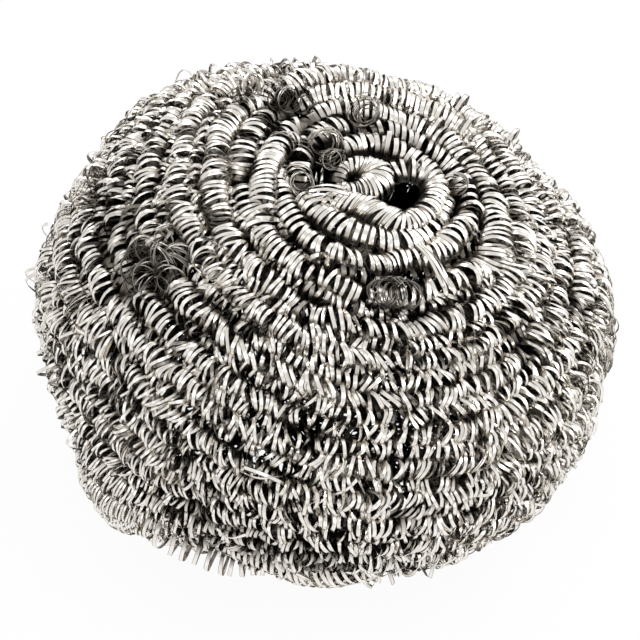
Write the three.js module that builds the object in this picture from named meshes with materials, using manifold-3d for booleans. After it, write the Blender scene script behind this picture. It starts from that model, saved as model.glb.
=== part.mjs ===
// Stainless steel scourer, in millimetres with +Z up. One flat ribbon is coiled into a
// springy rope, and the rope winds from an open end at the crown to the base of a squat ball.
import * as THREE from 'three';
import { mergeVertices } from 'three/addons/utils/BufferGeometryUtils.js';
import Module from 'manifold-3d';

// Driving dimensions
const ballWidth = 80; // across the rows, square to the winding axis
const crownHeight = 27.3; // along the winding axis, from the widest row up to the crown
const underDepth = 30; // from the widest row down to the underside, before it is pressed flat
const fullness = 2.25; // exponent of the half outline: 2 is an ellipse, more is squarer
const leanDegrees = 15; // the winding axis leans from +Z towards +X
const basePressed = 5; // how much of the underside is pressed flat
const crownSpacing = 3.3; // from row to row of rope, at the crown
const sideSpacing = 5.4; // from row to row of rope, over the lower half
const crownCrevice = 2.4; // how far the gap between two rows goes in, at the crown
const sideCrevice = 1.2; // the same over the lower half, where the rows blend
const crownPlain = 8; // rows nearer the pole than this lie under loose rope, without gaps
const plainFade = 2; // the gaps come in over this much either side of that
const spiralStart = 70; // degrees, where the first gap leaves the crown
const crownRopeDiameter = 3.6; // the loose rope that lies over the crown
const crownRopeProud = 1; // how far that rope stands above the rows
const budRopeDiameter = 2.6; // the tight ring beside the open crown
const budRopeProud = 0.6;
const dimpleFromPole = 3.352; // the open middle of the crown, inside the hook
const dimpleSpread = 3.352;
const dimpleDepth = 5;
const budHollowDepth = 1.5; // the rows sink this far round the tight ring
const ringHollowDepth = 3; // and this far under the open rings behind the crown
const sideHollowDepth = 3.6; // and this far where strands are drawn out of the side

// Fineness of the facets
const stepsPerTurn = 44;
const facetsAcrossRow = 4;
const ropeSides = 8;
const ropeStep = 1.5; // along the loose rope

// A length across the crown, in degrees as seen from the middle of the ball
function degreesAtCrown(length) {
  return THREE.MathUtils.radToDeg(Math.atan(length / crownHeight));
}

// Where the ball is pushed in or bulges: degrees round the winding axis, degrees above its
// widest row, how far the push spreads in degrees, and its depth (out is positive)
const pushes = [
  { around: 226, above: -34, spread: 26, out: 3 },
  { around: 218, above: -28, spread: 14, out: 1.4 },
  { around: 248, above: -28, spread: 14, out: -1.6 },
  { around: 196, above: -26, spread: 22, out: -0.9 },
  { around: 178, above: 8, spread: 24, out: 1.4 },
  { around: 165, above: 8, spread: 14, out: -2.7 },
  { around: 120, above: 20, spread: 22, out: -1.8 },
  { around: 88, above: 27, spread: 16, out: -1.4 },
  { around: 55, above: 20, spread: 30, out: -2.4 },
  { around: -20, above: 4, spread: 9, out: -1.9 },
  { around: -74, above: -20, spread: 12, out: -0.8 },
  {
    around: -30,
    above: 90 - degreesAtCrown(dimpleFromPole),
    spread: degreesAtCrown(dimpleSpread),
    out: -dimpleDepth,
  },
];

// Where rows sink in: distance from the pole along the ball, degrees round it, how far the hollow
// spreads and how deep it is
const hollows = [
  { distance: 2.6, around: 165, spread: 5.5, depth: budHollowDepth },
  { distance: 19.2, around: 129, spread: 3.4, depth: ringHollowDepth },
  { distance: 32.7, around: -158, spread: 5, depth: sideHollowDepth },
];

// Loose ropes over the crown: distance from the pole along the ball, and degrees round it
const hookRoute = [
  [3.2, 80], [4.6, 53], [6, 38], [7.3, 24], [7.8, 4], [7.3, -26], [7.3, -51], [7.3, -69], [6.2, -88],
  [5.4, -118], [6.7, -138], [8.2, -148], [10.4, -158],
];
const budRoute = [
  [5.5, 164], [5.1, 147], [4, 132], [2.6, 121], [1.1, 137], [1.5, -151], [3.1, -151], [4.4, -164],
];
const strayRoute = [[13.2, 146], [14.4, 160], [15.4, 178], [16.4, 194], [17.6, 205], [19.6, 214]];
const routeEndDrop = 3; // the ends of a loose rope dive this far below the rows

const wasm = await Module();
wasm.setup();

const toRadians = THREE.MathUtils.degToRad;

// Half outline of the ball from its crown to its underside, x outwards and y up the axis
class HalfOutline extends THREE.Curve {
  getPoint(t, target = new THREE.Vector2()) {
    const across = Math.sin(Math.PI * t);
    const along = Math.cos(Math.PI * t);
    const size = (Math.abs(across) ** fullness + Math.abs(along) ** fullness) ** (-1 / fullness);
    const reach = along > 0 ? crownHeight : underDepth;
    return target.set((size * across * ballWidth) / 2, size * along * reach);
  }
}
const outline = new HalfOutline();
outline.arcLengthDivisions = 400;
const outlineLength = outline.getLength();
const lean = new THREE.Matrix4().makeRotationY(toRadians(leanDegrees));

// How far the ball bulges at a point in the direction from its middle
function bulge(direction) {
  let out = 0;
  for (const push of pushes) {
    const level = Math.cos(toRadians(push.above));
    const middle = new THREE.Vector3(
      level * Math.cos(toRadians(push.around)),
      level * Math.sin(toRadians(push.around)),
      Math.sin(toRadians(push.above)),
    );
    const away = direction.angleTo(middle) / toRadians(push.spread);
    out += push.out * Math.exp(-away * away);
  }
  return out;
}

// A point on the ball: distance from the pole along it, angle round the axis, height above it
function onBall(distance, angle, height) {
  const share = THREE.MathUtils.clamp(distance / outlineLength, 0, 1);
  const place = outline.getPointAt(share);
  const run = outline.getTangentAt(share);
  const turned = (radius, up) => new THREE.Vector3(radius * Math.cos(angle), radius * Math.sin(angle), up);
  const point = turned(place.x, place.y);
  const atPole = share === 0 || share === 1;
  const outwards = atPole ? new THREE.Vector3(0, 0, Math.sign(place.y)) : turned(-run.y, run.x);
  return point.addScaledVector(outwards, height + bulge(point.clone().normalize())).applyMatrix4(lean);
}

// Distance from the pole after so many turns: rows widen over the upper half, then stay even
const upperTurns = outlineLength / (crownSpacing + sideSpacing);
function distanceAfter(turns) {
  const upper = Math.min(turns, upperTurns);
  const widened = ((sideSpacing - crownSpacing) * upper * upper) / (2 * upperTurns);
  return crownSpacing * upper + widened + sideSpacing * (turns - upper);
}
const lowerTurns = outlineLength / 2 / sideSpacing;
const turnsInAll = Math.ceil(upperTurns + lowerTurns) + 1;

// How far the rows sink at a point on the ball
function sunk(point) {
  let depth = 0;
  for (const hollow of hollows) {
    const away = point.distanceTo(onBall(hollow.distance, toRadians(hollow.around), 0)) / hollow.spread;
    depth += hollow.depth * Math.exp(-away * away);
  }
  return depth;
}

// The wound rows: one strip, a row wide, whose two edges meet in the gap between turns
function windRows() {
  const steps = turnsInAll * stepsPerTurn;
  const strip = new THREE.PlaneGeometry(1, 1, facetsAcrossRow, steps);
  const corners = strip.getAttribute('position');
  for (let step = 0; step <= steps; step += 1) {
    const angle = toRadians(spiralStart) - (2 * Math.PI * (step % stepsPerTurn)) / stepsPerTurn;
    for (let facet = 0; facet <= facetsAcrossRow; facet += 1) {
      const arc = (Math.PI * facet) / facetsAcrossRow;
      const across = (1 - Math.cos(arc)) / 2;
      const turns = (step - stepsPerTurn + across * stepsPerTurn) / stepsPerTurn;
      const distance = distanceAfter(turns);
      const lower = THREE.MathUtils.clamp(turns / upperTurns, 0, 1);
      const shown = THREE.MathUtils.smoothstep(distance, crownPlain - plainFade, crownPlain + plainFade);
      const crevice = shown * THREE.MathUtils.lerp(crownCrevice, sideCrevice, lower);
      const depth = crevice * (1 - Math.sin(arc)) + sunk(onBall(distance, angle, 0));
      const point = onBall(distance, angle, -depth);
      corners.setXYZ(step * (facetsAcrossRow + 1) + facet, point.x, point.y, point.z);
    }
  }
  return strip;
}

// A loose rope that rises out of the rows, follows its route and dives back into them
function looseRope(route, diameter, proud) {
  const last = route.length - 1;
  const middleHeight = proud - diameter / 2;
  const points = route.map(([distance, degrees], place) => {
    const atEnd = place === 0 || place === last;
    return onBall(distance, toRadians(degrees), middleHeight - (atEnd ? routeEndDrop : 0));
  });
  const path = new THREE.CatmullRomCurve3(points);
  const section = new THREE.Shape().absarc(0, 0, diameter / 2, 0, 2 * Math.PI);
  return new THREE.ExtrudeGeometry(section, {
    steps: Math.ceil(path.getLength() / ropeStep),
    curveSegments: ropeSides / 2,
    extrudePath: path,
  });
}

// Welds shared corners, drops facets that close up at the poles and makes a solid
function toSolid(geometry) {
  const bare = new THREE.BufferGeometry();
  bare.setAttribute('position', geometry.getAttribute('position'));
  bare.setIndex(geometry.getIndex());
  const welded = mergeVertices(bare);
  const order = welded.getIndex().array;
  const kept = [];
  for (let i = 0; i < order.length; i += 3) {
    const [a, b, c] = order.slice(i, i + 3);
    if (a !== b && b !== c && c !== a) kept.push(a, b, c);
  }
  return new wasm.Manifold(new wasm.Mesh({
    numProp: 3,
    vertProperties: Float32Array.from(welded.getAttribute('position').array),
    triVerts: Uint32Array.from(kept),
  }));
}

function toGeometry(solid) {
  const mesh = solid.getMesh();
  const geometry = new THREE.BufferGeometry();
  geometry.setAttribute('position', new THREE.BufferAttribute(mesh.vertProperties, 3));
  geometry.setIndex(new THREE.BufferAttribute(mesh.triVerts, 1));
  return geometry;
}

// Stands the ball on its flattened underside, with its middle over the origin
function standOnBase(geometry) {
  geometry.computeBoundingBox();
  const { min, max } = geometry.boundingBox;
  geometry.translate(-(min.x + max.x) / 2, -(min.y + max.y) / 2, -min.z - basePressed);
  const corners = geometry.getAttribute('position');
  for (let i = 0; i < corners.count; i += 1) {
    corners.setZ(i, Math.max(corners.getZ(i), 0));
  }
  geometry.computeVertexNormals();
  return geometry;
}

const looseRopes = [
  looseRope(hookRoute, crownRopeDiameter, crownRopeProud),
  looseRope(strayRoute, crownRopeDiameter, crownRopeProud),
  looseRope(budRoute, budRopeDiameter, budRopeProud),
];
const ball = looseRopes.map(toSolid).reduce((joined, rope) => joined.add(rope), toSolid(windRows()));

const steelRibbon = new THREE.MeshStandardMaterial({ color: 0xcbc7c1, roughness: 0.28, metalness: 1 });
const coil = new THREE.Mesh(standOnBase(toGeometry(ball)), steelRibbon);
coil.name = 'scourer_coil';

const scourer = new THREE.Group();
scourer.add(coil);

export default scourer;
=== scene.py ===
import math

import bmesh
import bpy
import numpy as np
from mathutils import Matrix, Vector


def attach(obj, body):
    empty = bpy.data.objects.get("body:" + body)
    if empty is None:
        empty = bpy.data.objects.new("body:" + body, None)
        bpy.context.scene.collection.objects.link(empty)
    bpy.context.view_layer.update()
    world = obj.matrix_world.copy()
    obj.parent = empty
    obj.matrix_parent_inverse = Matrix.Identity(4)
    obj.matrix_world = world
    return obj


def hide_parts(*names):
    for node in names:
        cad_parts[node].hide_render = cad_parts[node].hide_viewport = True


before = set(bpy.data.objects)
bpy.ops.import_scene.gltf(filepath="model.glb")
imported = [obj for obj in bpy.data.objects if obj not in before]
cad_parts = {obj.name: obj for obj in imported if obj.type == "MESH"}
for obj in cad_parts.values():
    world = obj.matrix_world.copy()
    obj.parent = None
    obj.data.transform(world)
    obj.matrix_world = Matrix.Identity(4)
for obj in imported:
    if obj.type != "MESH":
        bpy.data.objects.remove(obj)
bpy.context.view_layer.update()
mm = 0.001  # sizes below are in millimetres, and meshes are written in metres


# The ball that the rope is wound on, with the same sizes as the solid
ball = {
    "width": 80.0,
    "crownHeight": 27.3,
    "underDepth": 30.0,
    "fullness": 2.25,
    "leanDegrees": 15.0,
    "pressed": 5.0,  # flat underside
    "crownSpacing": 3.3,  # row to row at the crown
    "sideSpacing": 5.4,  # row to row over the lower half
    "spiralStart": 70.0,
    "softRim": 1.2,  # how gently the side turns in to the flat underside
    "outlinePoints": 4001,  # worked out along the half outline
    "boxGrid": (400, 361),  # points down and round the ball that give its box
    "slopeStep": 0.3,  # from a point to the next ones, for the slopes
    "poleRadius": 0.8,  # the least radius that the step round the ball allows for
    "pushes": [  # degrees round, degrees above the widest row, spread in degrees, out
        (226, -34, 26, 3.0),
        (218, -28, 14, 1.4),
        (248, -28, 14, -1.6),
        (196, -26, 22, -0.9),
        (178, 8, 24, 1.4),
        (165, 8, 14, -2.7),
        (120, 20, 22, -1.8),
        (88, 27, 16, -1.4),
        (55, 20, 30, -2.4),
        (-20, 4, 9, -1.9),
        (-74, -20, 12, -0.8),
    ],
}


def unit(vectors):
    return vectors / np.maximum(np.linalg.norm(vectors, axis=-1, keepdims=True), 1e-9)


# Vectors turned square to a way
def squareTo(vectors, way):
    return unit(vectors - way * (vectors * way).sum(-1, keepdims=True))


# Length of a line up to each of its points
def lengthAlong(line):
    return np.concatenate([[0], np.cumsum(np.linalg.norm(np.diff(line, axis=0), axis=1))])


# A value between the two of a pair
def blend(pair, share):
    return pair[0] * (1 - share) + pair[1] * share


def ramp(values, low, high, least=0):
    return np.clip((values - low) / (high - low), least, 1)


def outlineTable():
    t = np.linspace(0, np.pi, ball["outlinePoints"])
    across, along = np.sin(t), np.cos(t)
    power = ball["fullness"]
    size = (np.abs(across) ** power + np.abs(along) ** power) ** (-1 / power)
    out = size * across * ball["width"] / 2
    up = size * along * np.where(along > 0, ball["crownHeight"], ball["underDepth"])
    length = np.concatenate([[0], np.cumsum(np.hypot(np.diff(out), np.diff(up)))])
    return length, out, up, np.gradient(out, length), np.gradient(up, length)


outline = outlineTable()
outlineLength = outline[0][-1]
lean = math.radians(ball["leanDegrees"])
leanTurn = np.array(
    [[math.cos(lean), 0, math.sin(lean)], [0, 1, 0], [-math.sin(lean), 0, math.cos(lean)]]
)


def bulge(direction):
    total = np.zeros(len(direction))
    for around, above, spread, out in ball["pushes"]:
        a, b = math.radians(around), math.radians(above)
        middle = np.array([math.cos(b) * math.cos(a), math.cos(b) * math.sin(a), math.sin(b)])
        away = np.arccos(np.clip(direction @ middle, -1, 1)) / math.radians(spread)
        total += out * np.exp(-away * away)
    return total


def onBall(distance, angle):
    length, out, up, runOut, runUp = outline
    distance = np.clip(distance, 0, outlineLength)
    cosine, sine = np.cos(angle), np.sin(angle)
    radius = np.interp(distance, length, out)
    point = np.stack([radius * cosine, radius * sine, np.interp(distance, length, up)], -1)
    steep = -np.interp(distance, length, runUp)
    normal = np.stack([steep * cosine, steep * sine, np.interp(distance, length, runOut)], -1)
    return (point + normal * bulge(unit(point))[:, None]) @ leanTurn.T


def ballMiddle():
    down, around = ball["boxGrid"]
    distance, angle = np.meshgrid(np.linspace(0, outlineLength, down), np.linspace(0, 2 * np.pi, around))
    points = onBall(distance.ravel(), angle.ravel())
    low, high = points.min(0), points.max(0)
    return np.array([-(low[0] + high[0]) / 2, -(low[1] + high[1]) / 2, -low[2] - ball["pressed"]])


middle = ballMiddle()


# Heights kept above the floor, easing in to it
def softFloor(heights, rim):
    return (heights + np.sqrt(heights**2 + rim**2)) / 2


def pressedBall(distance, angle):
    point = onBall(distance, angle) + middle
    point[:, 2] = softFloor(point[:, 2], ball["softRim"])
    return point


# Point on the ball, the way out of it and the way down it
def surface(distance, angle):
    step = ball["slopeStep"]
    radius = np.interp(np.clip(distance, 0, outlineLength), outline[0], outline[1])
    turn = step / np.maximum(radius, ball["poleRadius"])
    down = pressedBall(distance + step, angle) - pressedBall(distance - step, angle)
    sideways = pressedBall(distance, angle + turn) - pressedBall(distance, angle - turn)
    return pressedBall(distance, angle), unit(np.cross(down, sideways)), unit(down)


def surfaceSpot(distance, degrees):
    point, out, _ = surface(np.array([float(distance)]), np.radians([float(degrees)]))
    return point[0], out[0]


# How near points are to a place on the ball, from 1 there to 0 far off
def nearness(points, distance, degrees, spread):
    away = points - surfaceSpot(distance, degrees)[0]
    return np.exp(-(away**2).sum(-1) / spread**2), away


# What a list of places adds up to at each point. A place has its distance from the pole, degrees
# round and spread, then what it adds
def addedUp(points, places, column=3):
    return sum(place[column] * nearness(points, *place[:3])[0] for place in places)


upperTurns = outlineLength / (ball["crownSpacing"] + ball["sideSpacing"])
allTurns = upperTurns + outlineLength / 2 / ball["sideSpacing"]
widening = ball["sideSpacing"] - ball["crownSpacing"]


def distanceAfter(turns):
    upper = np.minimum(turns, upperTurns)
    widened = widening * upper * upper / (2 * upperTurns)
    return ball["crownSpacing"] * upper + widened + ball["sideSpacing"] * (turns - upper)


def spacingAt(turns):
    return ball["crownSpacing"] + widening * np.minimum(turns, upperTurns) / upperTurns


print("ball: middle", middle.round(2), "turns of rope", round(float(allTurns), 1))


# Smooth chance values along a line, one knot every span
def drift(places, span, rng):
    at = (places - places.min()) / span
    knots = rng.uniform(-1, 1, int(np.ceil(at.max())) + 3)
    low = np.floor(at).astype(int)
    ease = at - low
    ease = ease * ease * (3 - 2 * ease)
    return knots[low] * (1 - ease) + knots[low + 1] * ease


# A chance change along a line, from a pair of its size and its span
def change(pair, places, rng):
    return pair[0] * drift(places, pair[1], rng)


# Smooth chance values in space, so that neighbouring rows wander together
waves = {
    "count": 7,
    "lengths": (0.7, 1.5),  # shares of the wavelength
    "level": 3.0,  # what their sum is divided by
}


def ripple(points, wavelength, rng):
    total = np.zeros(len(points))
    for _ in range(waves["count"]):
        way = unit(rng.normal(size=3)) * 2 * np.pi / (wavelength * rng.uniform(*waves["lengths"]))
        total += np.sin(points @ way + rng.uniform(0, 2 * np.pi))
    return total / waves["level"]


# The flat ribbon that the rope is coiled from
ribbon = {
    "width": 0.6,
    "thick": 0.09,
    "steps": 10,  # facets in a turn
    "outerFacets": 0.055,  # how far facets gather on the outer side of a turn
    "tangentStep": 0.4,  # to the points either side that give the way a rope runs
    "floorRim": 0.3,  # how gently ribbon comes to lie on the floor
    "springRadius": 5.0,  # of the plain spring, before its corners are moved
    "springPitch": 1.0,
}

# How unlike one another the turns of a rope are. Each has its size on a tidy rope, how much more it is
# on a loose one, and how many turns it lasts
disorder = {
    "bunch": [(0.6, 0.0, 7.0), (0.15, 0.75, 2.8), (0.2, 0.3, 1.4)],  # turns along the rope
    "size": [(0.06, 0.0, 7.0), (0.06, 0.14, 1.0)],  # share of a turn
    "leanTop": [(0.0648, 0.27, 5.0), (0.0756, 0.315, 1.0)],  # mm along the rope at its top
    "leanSide": [(0.54, 0.36, 9.0), (0.198, 0.36, 1.0)],  # mm along the rope at its side
    "bend": [(0.08, 0.35, 1.5)],  # mm along the rope, between top and side
    "sway": [(0.12, 0.2, 4.0), (0.0, 0.3, 1.2)],  # mm sideways
    "rise": [(0.12, 0.25, 3.0), (0.0, 0.3, 1.0)],  # mm outwards
    "twist": [(12.0, 22.0, 2.5), (9.6, 17.6, 0.8)],  # degrees
    "flip": (70.0, 1.3),  # degrees that a few loose turns roll over, and turns it lasts
    "edgeOn": (30.0, 35.0, 5.0),  # degrees that the sides of turns stand edge on
    "edgeSwitch": 3.0,  # how suddenly that changes from one edge to the other
    "poke": (0.2, 0.9),  # share of its height that a turn sticks out by
}


# Where a rope runs: its middle line, the way out, its half sizes, its turn spacing, how loose it is,
# how deep it lies and how much deeper its inner side reads, which both set its painted shade, its
# ribbon's width, how far its turns lean and how many of them stick out
def ropePath(
    line, out, halfHigh, halfWide, pitch, loose, sunk, inner,
    width=ribbon["width"], lean=0.0, poke=0.0,
):
    size = np.ones(len(line))
    path = {"along": lengthAlong(line), "line": line, "out": out}
    scalars = {
        "halfHigh": halfHigh, "halfWide": halfWide, "pitch": pitch, "loose": loose,
        "sunk": sunk, "inner": inner, "width": width, "lean": lean, "poke": poke,
    }
    path.update({name: value * size for name, value in scalars.items()})
    return path


def read(path, name, at):
    values = path[name]
    if values.ndim == 1:
        return np.interp(at, path["along"], values)
    return np.stack([np.interp(at, path["along"], values[:, i]) for i in range(3)], -1)


def stray(name, turn, loose, rng):
    return sum((tidy + more * loose) * drift(turn, span, rng) for tidy, more, span in disorder[name])


# Lays turns of ribbon along a rope, each a little different from the last
def coilAlong(path, rng, steps=ribbon["steps"]):
    along, pitch = path["along"], path["pitch"]
    turnsBy = np.concatenate([[0], np.cumsum(np.diff(along) / ((pitch[1:] + pitch[:-1]) / 2))])
    turns = int(turnsBy[-1])
    even = np.arange(turns * steps + 1) / steps
    turn = even - ribbon["outerFacets"] * np.sin(2 * np.pi * even)
    loose = np.interp(turn, turnsBy, path["loose"])
    at = np.interp(turn + stray("bunch", turn, loose, rng), turnsBy, along)
    step = ribbon["tangentStep"]
    tangent = unit(read(path, "line", at + step) - read(path, "line", at - step))
    out = squareTo(read(path, "out", at), tangent)
    side = np.cross(tangent, out)
    phase = 2 * np.pi * turn
    cosine, sine = np.cos(phase), np.sin(phase)
    size = 1 + stray("size", turn, loose, rng)
    places = np.arange(turns + 3)  # a few past the last turn
    chance = np.interp(np.interp(places, turnsBy, along), along, path["poke"])
    chosen = rng.random(len(places)) < chance
    pokes = np.where(chosen, rng.uniform(*disorder["poke"], len(places)), 0)
    reach = np.interp(turn, places, pokes) * np.maximum(cosine, 0) ** 2
    high = read(path, "halfHigh", at) * (size + reach)
    wide = read(path, "halfWide", at) * size
    slip = stray("leanTop", turn, loose, rng) * cosine
    slip += stray("leanSide", turn, loose, rng) * sine
    slip += stray("bend", turn, loose, rng) * np.sin(2 * phase)
    slip += read(path, "lean", at) * sine
    sway = stray("sway", turn, loose, rng)
    rise = stray("rise", turn, loose, rng)
    line = (
        read(path, "line", at)
        + out * (high * cosine + rise)[:, None]
        + side * (wide * sine + sway)[:, None]
        + tangent * slip[:, None]
    )
    run = unit(np.gradient(line, axis=0))
    face = squareTo(out * (cosine * wide)[:, None] + side * (sine * high)[:, None], run)
    twist = stray("twist", turn, loose, rng)
    roll, rollSpan = disorder["flip"]
    twist += roll * loose * drift(turn, rollSpan, rng) ** 3
    tilt, looserTilt, tiltSpan = disorder["edgeOn"]
    switch = np.tanh(disorder["edgeSwitch"] * drift(turn, tiltSpan, rng))
    twist += (tilt + looserTilt * loose) * sine * np.abs(sine) * switch
    # depth below the tops of the rows, more on the far side of each turn, sets the painted shade
    depth = (1 - cosine) * read(path, "inner", at) + read(path, "sunk", at) - rise
    return layRibbon(line, run, face, np.radians(twist), read(path, "width", at), depth)


# Three corners for each step of the ribbon, a flat face outwards and a low ridge inwards, and what
# its finish reads: along, edge and depth, where edge and depth set its painted shade
def layRibbon(line, run, face, twist, width, depth):
    across = np.cross(face, run)
    half = across * np.cos(twist)[:, None] + face * np.sin(twist)[:, None]
    thick = face * np.cos(twist)[:, None] - across * np.sin(twist)[:, None]
    line = line.copy()
    line[:, 2] = softFloor(line[:, 2], ribbon["floorRim"])
    w, t = half * (width / 2)[:, None], thick * (ribbon["thick"] / 2)
    corners = np.stack([line - w + t, line + w + t, line - t], 1)
    corners[:, :, 2] = np.maximum(corners[:, :, 2], 0)
    along = lengthAlong(line)[:, None]
    edge = np.array([[-1.0, 1.0, 0.0]])
    return corners, np.stack(np.broadcast_arrays(along, edge, depth[:, None]), -1)


# A spring of ribbon from the Screw modifier, as long as all the coils together
def springMesh(name, rings):
    profile = bmesh.new()
    w, t = ribbon["width"] / 2, ribbon["thick"] / 2
    radius = ribbon["springRadius"]
    corners = [profile.verts.new((radius + x, 0, z)) for x, z in ((t, -w), (t, w), (-t, 0))]
    for i in range(3):
        profile.edges.new((corners[i], corners[i - 2]))
    mesh = bpy.data.meshes.new(name)
    profile.to_mesh(mesh)
    profile.free()
    holder = bpy.data.objects.new(name, mesh)
    bpy.context.scene.collection.objects.link(holder)
    screw = holder.modifiers.new("spring", "SCREW")
    screw.axis = "Z"
    screw.screw_offset = ribbon["springPitch"]
    screw.steps = screw.render_steps = ribbon["steps"]
    screw.iterations = math.ceil(rings / ribbon["steps"]) + 1
    screw.use_normal_flip = True
    screw.use_smooth_shade = True
    turned = holder.evaluated_get(bpy.context.evaluated_depsgraph_get())
    spring = bpy.data.meshes.new_from_object(turned)
    bpy.data.objects.remove(holder)
    bpy.data.meshes.remove(mesh)
    return spring


# Moves a spring's corners onto its coils, cuts it between them and closes the cut ends
def ribbonPiece(name, coils, material):
    corners = np.concatenate([c[0].reshape(-1, 3) for c in coils]) * mm
    notes = np.concatenate([c[1].reshape(-1, 3) for c in coils])
    ends = np.cumsum([len(c[0]) for c in coils])
    mesh = springMesh(name, int(ends[-1]))
    bm = bmesh.new()
    bm.from_mesh(mesh)
    bm.verts.ensure_lookup_table()
    spare = [v for v in bm.verts if v.index >= len(corners)]
    bmesh.ops.delete(bm, geom=spare, context="VERTS")
    bm.verts.ensure_lookup_table()
    joints = set()
    for end in ends[:-1]:
        for corner in range(3):
            low, high = bm.verts[(end - 1) * 3 + corner], bm.verts[end * 3 + corner]
            joints.update(f for f in low.link_faces if high in f.verts)
    bmesh.ops.delete(bm, geom=list(joints), context="FACES")
    openEdges = [e for e in bm.edges if e.is_boundary]
    bmesh.ops.holes_fill(bm, edges=openEdges, sides=3)
    bm.to_mesh(mesh)
    bm.free()
    mesh.vertices.foreach_set("co", corners.astype(np.float32).ravel())
    pairs = np.empty(len(mesh.edges) * 2, np.int32)
    mesh.edges.foreach_get("vertices", pairs)
    lengthwise = np.abs(np.diff(pairs.reshape(-1, 2), axis=1))[:, 0] == 3  # same corner, next step
    sharp = mesh.attributes.get("sharp_edge") or mesh.attributes.new("sharp_edge", "BOOLEAN", "EDGE")
    sharp.data.foreach_set("value", lengthwise)
    store = mesh.attributes.new("ribbon", "FLOAT_VECTOR", "POINT")
    store.data.foreach_set("vector", notes.astype(np.float32).ravel())
    mesh.materials.clear()
    mesh.materials.append(material)
    mesh.update()
    piece = bpy.data.objects.new(name, mesh)
    bpy.context.scene.collection.objects.link(piece)
    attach(piece, "root")
    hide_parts("scourer_coil")
    print(name, "triangles", sum(len(p.vertices) - 2 for p in mesh.polygons))


def linear(hexColour):
    parts = [int(hexColour[i : i + 2], 16) / 255 for i in (0, 2, 4)]
    return [p / 12.92 if p <= 0.04045 else ((p + 0.055) / 1.055) ** 2.4 for p in parts] + [1.0]


def addNode(tree, kind, settings=None, links=None):
    node = tree.nodes.new(kind)
    for name, value in (settings or {}).items():
        if isinstance(name, str) and hasattr(node, name):
            setattr(node, name, value)
        else:
            node.inputs[name].default_value = value
    for name, source in (links or {}).items():
        tree.links.new(source, node.inputs[name])
    return node


# Stainless ribbon, cold rolled and slit: bright faces with fine lines along them, painted shade along
# the edges, and painted shade that darkens it the further it lies below the tops of the rows
steel = {
    "bright": "fffbf5",
    "dull": "e2dbd1",
    # painted shade: along each ribbon's edges, then darker and darker the lower a ribbon lies in the
    # ball
    "edgeShade": "2b251f",
    "inside": "78726a",
    "deep": "100e0b",
    "streakLength": 3.0,  # mm along the ribbon
    "streaks": 5.0,  # across half its width
    "streakDetail": 3.0,
    "dullStreaks": (0.35, 0.7),  # how strong a streak is where it starts to dull and is dullest
    "edgeShare": (0.78, 0.93),  # of the half width, where the painted edge shade starts and is full
    "insideDepth": (0.5, 1.7),  # mm below the tops of the rows, where the painted shade starts and is full
    # mm below the tops of the rows, where the darkest painted shade starts and is full
    "deepDepth": (1.4, 3.0),
    "rough": (0.2, 0.36),  # from bright to dull streaks
    "deepRough": 0.4,  # how much rougher the deepest ribbon is
}


def smoothRange(tree, value, limits):
    low, high = limits
    settings = {"interpolation_type": "SMOOTHSTEP", "From Min": low, "From Max": high}
    return addNode(tree, "ShaderNodeMapRange", settings, {"Value": value}).outputs["Result"]


# A colour laid over another one, as far as a share says
def laidOver(tree, colour, under, share):
    settings = {"data_type": "RGBA", 7: linear(colour)}
    return addNode(tree, "ShaderNodeMix", settings, {0: share, 6: under}).outputs[2]


def stainlessRibbon():
    material = bpy.data.materials.new("stainless_ribbon")
    material.use_nodes = True
    tree = material.node_tree
    shader = tree.nodes["Principled BSDF"]
    shader.inputs["Metallic"].default_value = 1.0
    notes = addNode(tree, "ShaderNodeAttribute", {"attribute_name": "ribbon"})
    parts = addNode(tree, "ShaderNodeSeparateXYZ", links={"Vector": notes.outputs["Vector"]})
    placed = addNode(
        tree, "ShaderNodeVectorMath",
        {"operation": "MULTIPLY", 1: (1 / steel["streakLength"], steel["streaks"], 0)},
        {0: notes.outputs["Vector"]},
    )
    streaks = addNode(
        tree, "ShaderNodeTexNoise",
        {"noise_dimensions": "2D", "Scale": 1.0, "Detail": steel["streakDetail"]},
        {"Vector": placed.outputs["Vector"]},
    )
    rolled = addNode(
        tree, "ShaderNodeMix",
        {"data_type": "RGBA", 6: linear(steel["bright"]), 7: linear(steel["dull"])},
        {0: smoothRange(tree, streaks.outputs["Fac"], steel["dullStreaks"])},
    )
    outer = addNode(tree, "ShaderNodeMath", {"operation": "ABSOLUTE"}, {0: parts.outputs["Y"]})
    atEdge = smoothRange(tree, outer.outputs[0], steel["edgeShare"])
    inside = smoothRange(tree, parts.outputs["Z"], steel["insideDepth"])
    deep = smoothRange(tree, parts.outputs["Z"], steel["deepDepth"])
    # painted shade laid over the rolled colour: along the edges, then darker with depth in the ball
    tone = laidOver(tree, steel["edgeShade"], rolled.outputs[2], atEdge)
    tone = laidOver(tree, steel["inside"], tone, inside)
    tone = laidOver(tree, steel["deep"], tone, deep)
    tree.links.new(tone, shader.inputs["Base Color"])
    smoothest, roughest = steel["rough"]
    rough = addNode(
        tree, "ShaderNodeMapRange", {"To Min": smoothest, "To Max": roughest},
        {"Value": streaks.outputs["Fac"]},
    )
    soiled = addNode(
        tree, "ShaderNodeMath", {"operation": "MULTIPLY_ADD", 1: steel["deepRough"]},
        {0: deep, 2: rough.outputs["Result"]},
    )
    tree.links.new(soiled.outputs[0], shader.inputs["Roughness"])
    print("material", material.name)
    return material


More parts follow.
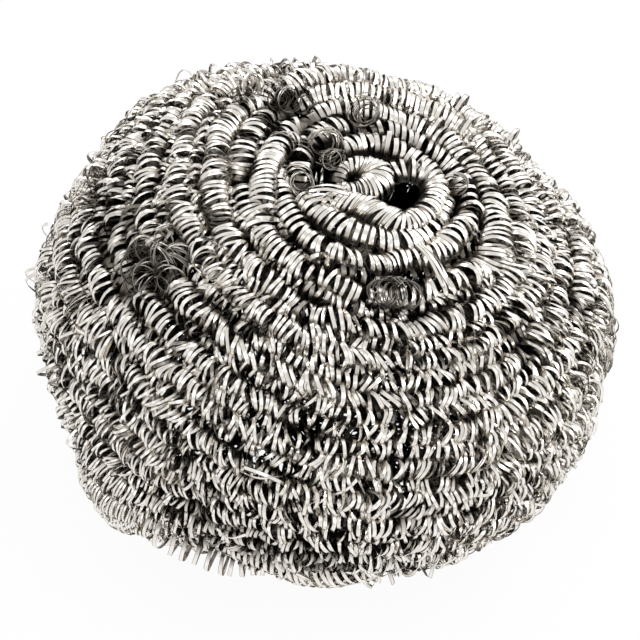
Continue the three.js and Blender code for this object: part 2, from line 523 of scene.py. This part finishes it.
# Short coils seen end on, where rope dives in, a spring that has fallen over, and drawn-out loops in the
# hollows. Each has its distance from the pole, degrees round, half width, height, turns and the way it
# points
eyes = {
    "wide": [
        (24.4, 134, 1.6, 0.4, 5, (0.5, -0.6, 0.6)),
    ],
    "cone": [
        (12.0, 101, 2.5, 0.9, 10, (-0.3, -0.4, 0.85)),
    ],
    "tangled": [
        (11.0, 17, 1.8, 0.2, 5, (0.0, 0.3, 1.0)),
        (8.6, 149, 2.6, -0.3, 8, (0.1, -0.7, 0.7)),
        (7.2, 160, 1.6, -0.6, 5, (-0.4, -0.6, 0.6)),
        (9.6, 145, 2.0, 0.1, 5, (0.4, -0.5, 0.7)),
        (11.7, -173, 1.9, -0.6, 5, (-0.2, -0.7, 0.7)),
        (10.9, -167, 1.5, -0.6, 4, (0.3, -0.6, 0.6)),
    ],
    "fallen": [
        (18.3, -77, 2.1, 0.35, 15, (1.0, 0.0, 0.0)),
    ],
    "drawnOut": [
        (30.5, -158, 2.1, -0.8, 4, (0.3, -0.8, 0.5)),
        (33.0, -160, 2.4, -0.8, 5, (-0.5, -0.4, 0.8)),
        (35.0, -156, 2.4, -0.6, 4, (0.4, -0.4, 0.9)),
        (32.0, -151, 2.3, -0.8, 5, (-0.4, -0.8, 0.4)),
        (35.0, -148, 2.0, -0.8, 4, (0.5, -0.6, 0.6)),
        (30.5, -152, 2.0, -0.9, 4, (0.2, -0.9, 0.4)),
        (33.5, -154, 2.5, -0.9, 5, (-0.6, -0.6, 0.5)),
        (31.5, -155, 1.8, -0.5, 4, (0.6, -0.3, 0.7)),
        (34.0, -158, 2.0, -0.6, 5, (0.1, -0.7, 0.7)),
        (34.5, -151, 2.6, -0.6, 5, (0.2, -0.6, 0.8)),
        (36.0, -153, 2.2, -0.7, 4, (-0.1, -0.5, 0.8)),
        (33.0, -148, 2.1, -0.6, 4, (0.0, -0.8, 0.5)),
        (34.2, -143, 2.2, -1.0, 4, (-0.5, -0.6, 0.6)),
        (34.0, -137, 2.0, -1.2, 4, (-0.6, -0.5, 0.6)),
        (19.2, 129, 1.8, -0.8, 5, (0.2, -0.6, 0.7)),
        (18.0, 126, 1.5, -0.9, 4, (-0.4, -0.4, 0.8)),
        (20.6, 130, 1.6, -0.9, 4, (0.4, -0.7, 0.5)),
    ],
    "finish": {  # share of the half width at the far end and across, turn spacing, ribbon width, depth that sets its painted shade
        "wide": (0.5, 1.0, 0.3, 0.3, 1.1),
        "cone": (0.35, 0.9, 0.2, 0.24, 1.3),
        "tangled": (0.7, 1.0, 0.36, 0.18, 1.2),
        "fallen": (0.95, 1.0, 0.29, 0.18, 1.75),
        "drawnOut": (0.9, 1.0, 0.6, 0.17, 1.5),
    },
    "points": 40,  # along each one
    "facets": 18,  # in a turn
    "startFrom": (1.0, 0.2, 0.1),  # turns start square to this and to the way a coil points
    "bow": 8.0,  # mm, a coil strays sideways by the square of its length over this
    "loose": 0.7,
    "inner": 0.4,  # mm, half of how much more painted shade the far side of a turn gets, as depth
    "fallenLoose": 0.3,
    "fallenHalf": 0.3,  # half of how thick the fallen spring lies, in mm
}


def eyePath(eye, closing, squash, pitch, width, shade):
    distance, degrees, half, height, turns, pointing = eye
    point, out = surfaceSpot(distance, degrees)
    axis = unit(np.array(pointing))
    start = unit(np.cross(axis, eyes["startFrom"]))
    t = np.linspace(-1, 0, eyes["points"])[:, None] * turns * pitch
    line = point + out * height + axis * t + start * t**2 / eyes["bow"]
    halves = half * np.linspace(closing, 1, eyes["points"])
    around = np.repeat(start[None], eyes["points"], 0)
    return ropePath(
        line, around, halves * squash, halves, pitch, eyes["loose"],
        shade - eyes["inner"], eyes["inner"], width,
    )


# A spring that has fallen over: its turns lie nearly flat on the ball, each beside the last
def fallenPath(eye, closing, squash, pitch, width, shade):
    distance, degrees, half, height, turns, pointing = eye
    point, out = surfaceSpot(distance, degrees)
    ahead = unit(pointing - out * (out @ pointing))
    t = np.linspace(-1, 0, eyes["points"])[:, None] * turns * pitch
    halves = half * np.linspace(closing, 1, eyes["points"])
    around = np.repeat(np.cross(out, ahead)[None], eyes["points"], 0)
    line = point + out * height + ahead * t
    return ropePath(
        line, around, halves * squash, eyes["fallenHalf"], pitch, eyes["fallenLoose"],
        shade - eyes["inner"], eyes["inner"], width, lean=halves,
    )


def eyePaths():
    paths = []
    for kind, finish in eyes["finish"].items():
        make = fallenPath if kind == "fallen" else eyePath
        paths += [make(eye, *finish) for eye in eyes[kind]]
    return paths


# The wound rows, from inside the hook at the crown to the underside
rows = {
    # distance from the pole, degrees round, spread, depth (minus stands proud), how far rows part
    "hollows": [
        (3.4, -25, 2.8, 3.0, 0.0),
        (10.2, -28, 1.9, 0.7, 0.5),
        (16.4, -33, 2.4, 1.5, 0.7),
        (11.8, 181, 2.4, 2.6, 0.6),
        (18.4, 179, 2.2, 2.6, 0.8),
        (19.2, 129, 3.2, 3.0, 0.7),
        (23.4, -140, 1.8, 1.5, 0.6),
        (33.3, -153, 4.2, 3.6, 0.9),
        (29.2, -41, 3.0, 2.2, 0.8),
        (34.0, -14, 2.6, 1.8, 0.6),
        (53.0, -114, 2.6, 1.2, 0.6),
        (61.0, -124, 3.2, 1.6, 0.9),
        (58.5, -116, 3.0, 1.5, 0.8),
        (45.8, -109, 2.4, 1.2, 0.6),
        (22.8, -116, 2.6, 1.6, 0.6),
        (19.1, -174, 2.2, 1.2, 0.5),
        (18.2, -84, 3.4, 1.6, 0.4),
        (34.0, -142, 2.6, 1.7, 0.2),
        (33.9, -132, 2.6, 1.4, 0.2),
        (28.0, -144, 2.8, -0.9, 0.0),
        (25.1, -136, 2.6, -0.8, 0.0),
        (29.0, -118, 3.6, -1.1, 0.0),
        (30.1, -104, 3.6, -0.9, 0.0),
        (16.1, -112, 3.0, -0.8, 0.0),
        (22.2, 8, 3.0, -0.6, 0.0),
        (10.8, -78, 4.0, -0.4, -1.0),
        (12.7, -36, 2.4, -0.6, 0.0),
        (13.4, 117, 2.4, -0.8, 0.0),
        (27.0, 62, 9.0, -1.8, 0.0),
        (72.2, -132, 6.0, -1.7, 0.0),
        (67.0, -113, 4.5, 1.3, 0.0),
        (50.0, -30, 7.0, -1.2, 0.0),
    ],
    "messy": [  # distance from the pole, degrees round, spread, how much looser
        (12.0, -5, 6, 0.5),
        (15.0, 35, 6, 0.5),
        (19.0, 140, 6, 0.4),
        (10.5, 120, 5, 0.4),
        (8.8, 82, 4, 0.45),
        (36.0, 182, 24, -0.3),
        (30.0, 135, 20, -0.1),
        (38.0, -140, 18, -0.15),
        (68.0, -132, 10, -0.8),
        (72.0, -98, 8, -0.7),
        (30.0, 70, 22, -0.45),
        (13.5, -100, 4, 0.35),
        (17.0, -125, 5, 0.3),
        (20.0, -60, 5, 0.3),
        (12.5, 172, 4, 0.25),
    ],
    "apart": [  # distance from the pole, degrees round, spread, how far rows are kept apart
        (36.0, 182, 24, 0.5),
        (30.0, 135, 20, 0.4),
        (38.0, -140, 18, 0.4),
        (68.0, -132, 10, 0.9),
        (72.0, -98, 8, 0.8),
        (34.0, -5, 22, 0.5),
        (52.0, -40, 18, 0.25),
        (28.0, 85, 20, 0.6),
    ],
    "fine": [  # distance from the pole, degrees round, spread, how much narrower, how much closer
        (28.0, -92, 18, -0.2, -0.25),
        (28.0, 75, 20, -0.15, -0.15),
        (33.0, 140, 16, -0.05, 0.08),
        (22.0, 0, 12, 0.2, 0.1),
        (38.0, -8, 18, 0.08, 0.18),
        (52.0, -40, 16, 0.06, 0.2),
        (46.0, 190, 16, 0.2, 0.0),
        (56.0, -130, 16, 0.2, 0.2),
        (68.0, -132, 10, 0.3, 0.3),
        (72.0, -98, 8, -0.2, -0.3),
    ],
    "short": [  # distance from the pole, degrees round, spread, how much narrower the rope is
        (32.0, -95, 20, 0.1),
        (46.0, -85, 24, 0.15),
        (56.0, -125, 20, 0.25),
        (36.0, -5, 24, -0.3),
    ],
    "fringe": [  # distance from the pole, degrees round, spread, how many more turns stick out
        (42.0, 188, 20, 0.15),
        (44.0, 5, 24, -0.03),
        (66.0, -135, 16, -0.06),
        (72.0, -98, 10, -0.06),
    ],
    "open": [  # distance from the pole, degrees round, spread, how much deeper light gets in, in mm
        (34.0, -5, 26, 0.4),
        (26.0, 170, 14, 0.4),
        (22.0, -160, 10, 0.3),
        (28.0, 100, 16, 0.1),
        (32.0, 145, 18, 0.7),
        (54.0, -128, 18, 0.7),
        (36.0, -82, 18, 0.75),
        (62.0, -88, 16, -0.9),
        (51.0, -72, 8, -0.4),
    ],
    "litSide": 0.2,  # how much less painted shade the sides of rows get where they are kept apart
    "poke": 0.04,  # share of turns that stick out
    "pointsPerTurn": 720,  # of the rope round the ball
    "seed": 21,
    "wander": (0.7, 30.0),  # mm that neighbouring rows stray together, and over what length
    "uneven": (0.55, 16.0),  # mm that they rise and sink together, and over what length
    "settled": 0.2,  # share of that by which they sink everywhere
    "rowWander": (0.45, 14.0),  # the same for a row on its own
    "rowUneven": (0.45, 18.0),
    "fatter": (0.12, 10.0),  # share by which the rope gets wider and narrower
    "ribbonChange": (0.12, 25.0),  # and its ribbon
    "underEyes": 1.5,  # mm that rows sink under coils seen end on
    "leastLoose": 0.15,
    "looseFrom": 8.0,  # distance from the pole where rows start to blend
    "looseTo": 30.0,
    "crownTo": 12.0,  # distance from the pole where the ribbon starts to get narrower and closer
    "sideFrom": 26.0,
    "pitch": (0.86, 0.7),  # turn to turn at the crown and low down
    "width": (0.66, 0.52),
    "halfHigh": (1.65, 1.5),
    "shareOfRow": (1.0, 0.72),
    "hiddenFrom": 84.0,  # the underside, wound more openly
    "hiddenPitch": 1.3,
}


def rowsPath(turnFrom, turnTo, deeper=(0.0, 0.0), shift=0.0):
    turns = np.arange(turnFrom, turnTo, 1 / rows["pointsPerTurn"])
    angle = math.radians(ball["spiralStart"]) - 2 * np.pi * (turns + 0.5)
    distance = distanceAfter(turns + shift)
    point, out, down = surface(distance, angle)
    along = lengthAlong(point)
    rng = np.random.default_rng(rows["seed"])
    slip = rows["wander"][0] * ripple(point, rows["wander"][1], rng)
    sunk = rows["uneven"][0] * (rows["settled"] + ripple(point, rows["uneven"][1], rng))
    slip += change(rows["rowWander"], along, rng)
    sunk += change(rows["rowUneven"], along, rng)
    for distanceThere, degrees, spread, depth, part in rows["hollows"]:
        near, away = nearness(point, distanceThere, degrees, spread)
        sunk += depth * near
        slip += part * near * (away * down).sum(-1) / (spread / 2)
    for eye in eyes["wide"] + eyes["cone"] + eyes["tangled"]:
        sunk += rows["underEyes"] * nearness(point, *eye[:3])[0]
    loose = ramp(distance, rows["looseFrom"], rows["looseTo"], rows["leastLoose"])
    apart = np.clip(1 - loose + addedUp(point, rows["apart"]), 0, 1)
    for place in rows["messy"]:
        loose = np.clip(loose + addedUp(point, [place]), rows["leastLoose"], 1)
    sunk += blend(deeper, 1 - apart)
    narrower = 1 - addedUp(point, rows["fine"])
    closer = 1 - addedUp(point, rows["fine"], 4)
    short = 1 - addedUp(point, rows["short"])
    point, out, _ = surface(distance + slip, angle)
    high = blend(rows["halfHigh"], loose)
    wide = spacingAt(turns) / 2 * blend(rows["shareOfRow"], loose) * short
    wide *= 1 + change(rows["fatter"], along, rng)
    poke = rows["poke"] + addedUp(point, rows["fringe"])
    low = ramp(distance, rows["crownTo"], rows["sideFrom"])
    pitch = closer * blend(rows["pitch"], low)
    pitch = np.where(distance > rows["hiddenFrom"], rows["hiddenPitch"], pitch)
    width = narrower * blend(rows["width"], low)
    width *= 1 + change(rows["ribbonChange"], along, rng)
    line = point - out * (high + sunk)[:, None]
    # painted shade: rows read deeper below their tops, less where light gets in and where rows are kept
    # apart
    lit = addedUp(point, rows["open"])
    inner = high * (1 - rows["litSide"] * apart)
    path = ropePath(line, out, high, wide, pitch, loose, sunk - lit, inner, width, poke=poke)
    path["apart"] = apart
    return path


# The hook round the hollow at the crown, the tight ring beside it, a stray rope behind them, turns that
# hang out under the edge and slanted turns along it
crown = {
    # distance from the pole, degrees round, height of the top, turn spacing, half width, lean
    "hook": [
        (3.2, 80, -2.2, 1.0, 1.5, 0.0),
        (4.6, 53, 0.0, 0.95, 1.6, 0.0),
        (6.0, 38, 0.8, 0.9, 1.75, 0.0),
        (7.3, 24, 1.0, 0.85, 1.85, 0.0),
        (7.8, 4, 1.0, 0.8, 1.85, 0.0),
        (7.3, -26, 1.0, 0.75, 1.85, 0.0),
        (7.3, -51, 1.0, 0.68, 1.85, 0.0),
        (7.3, -69, 1.1, 0.62, 1.9, -0.6),
        (6.2, -88, 1.2, 0.5, 1.9, -1.0),
        (5.4, -118, 1.1, 0.55, 1.8, -1.4),
        (6.7, -138, 0.7, 0.75, 1.6, -1.6),
        (8.2, -148, 0.2, 0.9, 1.4, -1.6),
        (10.4, -158, -2.0, 1.0, 1.3, -1.2),
    ],
    "bud": [
        (5.6, 176, -1.6, 0.5, 1.0, 0.0),
        (5.2, 155, -0.6, 0.5, 1.1, 0.0),
        (4.5, 140, 0.0, 0.55, 1.3, 0.0),
        (3.4, 124, 0.4, 0.5, 1.8, 0.0),
        (1.6, 102, 0.6, 0.45, 2.2, 0.0),
        (1.2, -150, 0.4, 0.45, 2.1, 0.0),
        (2.6, -154, -0.2, 0.5, 1.6, 0.0),
        (4.3, -160, -0.6, 0.5, 1.1, 0.0),
        (5.6, -172, -1.4, 0.5, 1.0, 0.0),
    ],
    "stray": [
        (13.2, 146, -1.8, 1.0, 1.75, 0.0),
        (14.4, 160, 0.8, 0.9, 1.75, 0.0),
        (15.4, 178, 1.1, 0.85, 1.75, 0.0),
        (16.4, 194, 1.0, 0.85, 1.75, 0.0),
        (17.6, 205, 0.5, 0.9, 1.75, 0.0),
        (19.6, 214, -2.4, 1.0, 1.75, 0.0),
    ],
    "hanging": [
        (67.0, -126, 1.0, 1.5, 2.2, 0.0),
        (67.6, -119, 2.1, 1.7, 2.2, 0.0),
        (68.6, -112, 2.3, 1.8, 2.2, 0.0),
        (69.6, -105, 2.1, 1.6, 2.2, 0.0),
        (70.4, -99, 0.6, 1.5, 2.0, 0.0),
    ],
    "hem": [
        (67.5, -98, -0.8, 1.0, 2.0, 1.0),
        (67.6, -92, 0.6, 1.0, 2.2, 1.3),
        (67.0, -85, 0.8, 0.95, 2.2, 1.4),
        (66.0, -78, 0.6, 0.95, 2.1, 1.3),
        (65.0, -71, -0.8, 1.0, 1.8, 1.0),
    ],
    "ropes": ("hook", "bud", "stray", "hanging", "hem"),  # in the order that they are laid
    "facets": 14,  # in a turn
    "loose": 0.15,
    "litSide": 0.65,  # how much painted shade their sides get, as a share of what they are
}


# A smooth line through stops, with so many points from one to the next
def smoothRoute(points, perSpan=24):
    padded = np.concatenate([[2 * points[0] - points[1]], points, [2 * points[-1] - points[-2]]])
    t = np.linspace(0, 1, perSpan, endpoint=False)[:, None]
    spans = []
    for a, b, c, d in zip(padded, padded[1:], padded[2:], padded[3:]):
        curve = (2 * a - 5 * b + 4 * c - d) * t**2 + (3 * b - a - 3 * c + d) * t**3
        spans.append(0.5 * (2 * b + (c - a) * t + curve))
    return np.concatenate(spans + [points[-1:]])


def routePath(route):
    spots = [surfaceSpot(*stop[:2]) for stop in route]
    height, pitch, half, lean = smoothRoute(np.array([stop[2:] for stop in route])).T
    middles = [point + out * (stop[2] - stop[4]) for (point, out), stop in zip(spots, route)]
    line = smoothRoute(np.array(middles))
    out = unit(smoothRoute(np.array([out for _, out in spots])))
    # routes that dip under the rows get painted shade
    sunk = np.maximum(-height, 0)
    inner = crown["litSide"] * half
    return ropePath(line, out, half, half, pitch, crown["loose"], sunk, inner, lean=lean)


# Single ribbons that lie across the rows
strands = {
    "laid": [  # stops: distance from the pole, degrees round, height
        [(9.6, -67, -0.4), (13.4, -63, 0.7), (17.8, -61, 0.1)],
        [(9.9, -64, -0.3), (13.8, -61, 0.8), (18.4, -58, 0.0)],
        [(10.6, -60, -0.3), (14.4, -58, 0.6), (17.4, -57, -0.2)],
        [(47.0, -111, -0.3), (46.2, -107, 0.6), (45.2, -103, -0.2)],
        [(46.4, -111, -0.5), (45.6, -106, 0.4), (46.4, -102, -0.4)],
        [(64.0, -93, 0.2), (68.0, -85, 0.8), (66.0, -75, 0.3)],
        [(63.0, -95, 0.0), (67.0, -88, 0.6), (67.4, -80, 0.4)],
        [(10.9, -160, -0.4), (8.6, -152, 0.9), (6.2, -137, 0.6)],
        [(11.7, -156, -0.5), (9.6, -150, 0.7), (7.4, -140, 0.7)],
        [(11.4, -152, -0.5), (9.4, -145, 0.5), (7.6, -134, 0.2)],
        [(10.4, -164, -0.6), (8.2, -158, 0.6), (6.0, -146, 0.8)],
    ],
    "width": 0.5,
    "twist": 40.0,  # degrees
    "twistSpan": 0.5,  # share of its length
    "pointsPerSpan": 6,
    "loose": 40,  # how many more lie about by chance
    "distances": (42.0, 66.0),  # from the pole, where those lie
    "lengths": (2.5, 6.0),
    "arch": [(-0.5, -0.7), (0.0, 0.4), (0.5, -0.7)],  # share along one of them, height
    "archChange": 0.3,
}


def strandAlong(stops, rng):
    spots = [surfaceSpot(distance, degrees) for distance, degrees, _ in stops]
    places = np.array([point + out * stop[2] for (point, out), stop in zip(spots, stops)])
    line = smoothRoute(places, strands["pointsPerSpan"])
    face = unit(smoothRoute(np.array([out for _, out in spots]), strands["pointsPerSpan"]))
    run = unit(np.gradient(line, axis=0))
    count = len(line)
    share = np.arange(count) / count
    twist = np.radians(strands["twist"]) * drift(share, strands["twistSpan"], rng)
    width = np.full(count, strands["width"])
    return layRibbon(line, run, squareTo(face, run), twist, width, np.zeros(count))


def looseStrands(rng):
    routes = list(strands["laid"])
    uneven = strands["archChange"]
    for _ in range(strands["loose"]):
        distance = rng.uniform(*strands["distances"])
        degrees = rng.uniform(-180, 180)
        length = rng.uniform(*strands["lengths"])
        way = rng.uniform(0, 2 * np.pi)
        heights = [(t, h + rng.uniform(-uneven, uneven)) for t, h in strands["arch"]]
        down = length * math.cos(way)
        turned = math.degrees(length * math.sin(way) / np.interp(distance, outline[0], outline[1]))
        routes.append([(distance + t * down, degrees + t * turned, h) for t, h in heights])
    return [strandAlong(route, rng) for route in routes]


# Lengths of the wound rope: turns from the pole where each starts and ends, and facets in a turn of
# its ribbon
lastTurn = allTurns - 0.35  # just short of the middle of the underside
rowLengths = {
    "crown_rows": (2.35, 7.6, 13),
    "shoulder_rows": (7.6, 11.0, 11),
    "side_rows": (11.0, 14.6, 12),
    "under_rows": (14.6, lastTurn, 12),
}

# Turns that fill the gaps between rows, and a second layer under both: turns from the pole where they
# start and end, how much deeper they lie, how many rows further on, and their spacing and width beside
# the rows'. The two values are for rows that are kept apart and rows that blend
lastInside = lastTurn - 0.6  # these end a little sooner
gapLengths = {
    "upper_gaps": (4.0, 10.0, (1.2, 0.2), 0.5, 1.0, (0.6, 1.0)),
    "side_gaps": (10.0, 13.8, (0.9, 0.2), 0.5, 0.9, (0.6, 1.0)),
    "under_gaps": (13.8, lastInside, (0.9, 0.2), 0.5, 0.9, (0.6, 1.0)),
    "inner_upper": (2.9, 11.0, (2.2, 1.6), 0.25, 1.3, (1.15, 1.2)),
    "inner_side": (11.0, 15.0, (2.0, 1.4), 0.25, 1.3, (1.2, 1.3)),
    "inner_under": (15.0, lastInside, (2.0, 1.4), 0.25, 1.3, (1.2, 1.3)),
}
gapPoke = 0.4  # share of the rows' turns that stick out


def gapPath(turnFrom, turnTo, deeper, shift, pitch, size):
    path = rowsPath(turnFrom, turnTo, deeper, shift)
    path["pitch"] *= pitch
    path["halfWide"] *= blend(size, 1 - path["apart"])
    path["loose"][:] = 1.0
    path["poke"] *= gapPoke
    return path


steelRibbon = stainlessRibbon()
rng = np.random.default_rng(5)
for name, (turnFrom, turnTo, facets) in rowLengths.items():
    ribbonPiece(name, [coilAlong(rowsPath(turnFrom, turnTo), rng, facets)], steelRibbon)
for name, settings in gapLengths.items():
    ribbonPiece(name, [coilAlong(gapPath(*settings), rng)], steelRibbon)
crownCoils = [coilAlong(routePath(crown[name]), rng, crown["facets"]) for name in crown["ropes"]]
ribbonPiece("crown_hook", crownCoils, steelRibbon)
ribbonPiece("loose_loops", [coilAlong(path, rng, eyes["facets"]) for path in eyePaths()], steelRibbon)
ribbonPiece("loose_strands", looseStrands(rng), steelRibbon)


# Whether a ray shows what it meets: seen straight on, in metal or through glass
def shownRays(tree):
    rays = addNode(tree, "ShaderNodeLightPath")
    seen = addNode(
        tree, "ShaderNodeMath", {"operation": "ADD"},
        {0: rays.outputs["Is Camera Ray"], 1: rays.outputs["Is Glossy Ray"]},
    )
    return addNode(
        tree, "ShaderNodeMath", {"operation": "ADD", "use_clamp": True},
        {0: seen.outputs[0], 1: rays.outputs["Is Transmission Ray"]},
    )


# The white floor keeps a soft shadow, and is near white to the eye and in the metal
floor = {
    "half": 1.5,  # metres
    "colour": "f8f8f8",
    "rough": 0.9,
    "glow": 0.93,  # share of plain white that it shows
}


def whiteFloor():
    bm = bmesh.new()
    bmesh.ops.create_grid(bm, x_segments=1, y_segments=1, size=floor["half"])
    mesh = bpy.data.meshes.new("floor")
    bm.to_mesh(mesh)
    bm.free()
    ground = bpy.data.objects.new("floor", mesh)
    bpy.context.scene.collection.objects.link(ground)
    material = bpy.data.materials.new("white_paper")
    material.use_nodes = True
    tree = material.node_tree
    paper = tree.nodes["Principled BSDF"]
    paper.inputs["Base Color"].default_value = linear(floor["colour"])
    paper.inputs["Roughness"].default_value = floor["rough"]
    glow = addNode(tree, "ShaderNodeEmission", {"Strength": 1.0})
    share = addNode(
        tree, "ShaderNodeMath", {"operation": "MULTIPLY", 1: floor["glow"]},
        {0: shownRays(tree).outputs[0]},
    )
    mixed = addNode(
        tree, "ShaderNodeMixShader", {}, {0: share.outputs[0], 1: paper.outputs[0], 2: glow.outputs[0]}
    )
    tree.links.new(mixed.outputs[0], tree.nodes["Material Output"].inputs["Surface"])
    mesh.materials.append(material)


# Soft studio light: a white room and four soft boxes, two on the right, one behind and one in front
light = {
    "room": 1.0,
    "aim": (0.0, 0.0, 0.026),  # metres, the middle of the ball
    "boxes": [  # name, where from in metres, size in metres, watts
        ("key", (0.7, 0.55, 0.55), 1.2, 3.0),
        ("side", (0.88, -0.15, 0.28), 0.5, 3.5),
        ("back", (-0.3, 0.88, 0.42), 0.8, 3.0),
        ("front", (-0.3, -0.8, 0.9), 1.2, 2.5),
    ],
}


def studio():
    world = bpy.data.worlds.new("pale_room")
    bpy.context.scene.world = world
    world.use_nodes = True
    tree = world.node_tree
    tree.nodes.clear()
    strength = addNode(
        tree, "ShaderNodeMapRange", {"To Min": light["room"], "To Max": 1.0},
        {"Value": shownRays(tree).outputs[0]},
    )
    sky = addNode(tree, "ShaderNodeBackground", {}, {"Strength": strength.outputs["Result"]})
    addNode(tree, "ShaderNodeOutputWorld", {}, {"Surface": sky.outputs[0]})
    for name, place, size, watts in light["boxes"]:
        lamp = bpy.data.lights.new(name, "AREA")
        lamp.shape = "DISK"
        lamp.size = size
        lamp.energy = watts
        box = bpy.data.objects.new(name, lamp)
        box.location = place
        way = Vector(light["aim"]) - Vector(place)
        box.rotation_euler = way.to_track_quat("-Z", "Y").to_euler()
        bpy.context.scene.collection.objects.link(box)
    print("soft boxes", len(light["boxes"]))


# The photograph looks down on the ball from the front
view = {
    "elevation": 50.2,  # degrees
    "distance": 0.4,  # metres
    "pixelsPerMm": 7.187,  # at the ball's middle
    "aimUp": -1.22,  # mm from the ball's middle to the middle of the frame
    "aimRight": -0.89,
    "middleHeight": 26.0,
    "frame": 640,  # pixels
    "sensor": 36.0,  # mm
    "nearest": 0.01,  # metres
}


def photoCamera():
    tilt = math.radians(view["elevation"])
    ahead = Vector((0, math.cos(tilt), -math.sin(tilt)))
    up = Vector((0, math.sin(tilt), math.cos(tilt)))
    aim = Vector((view["aimRight"] * mm, 0, view["middleHeight"] * mm)) + up * view["aimUp"] * mm
    lens = bpy.data.cameras.new("photo_camera")
    lens.sensor_width = view["sensor"]
    lens.lens = view["pixelsPerMm"] * view["distance"] / mm * view["sensor"] / view["frame"]
    lens.clip_start = view["nearest"]
    camera = bpy.data.objects.new("photo_camera", lens)
    camera.location = aim - ahead * view["distance"]
    camera.rotation_euler = ahead.to_track_quat("-Z", "Y").to_euler()
    bpy.context.scene.collection.objects.link(camera)
    bpy.context.scene.camera = camera


whiteFloor()
studio()
photoCamera()
bpy.context.scene.view_settings.view_transform = "Standard"
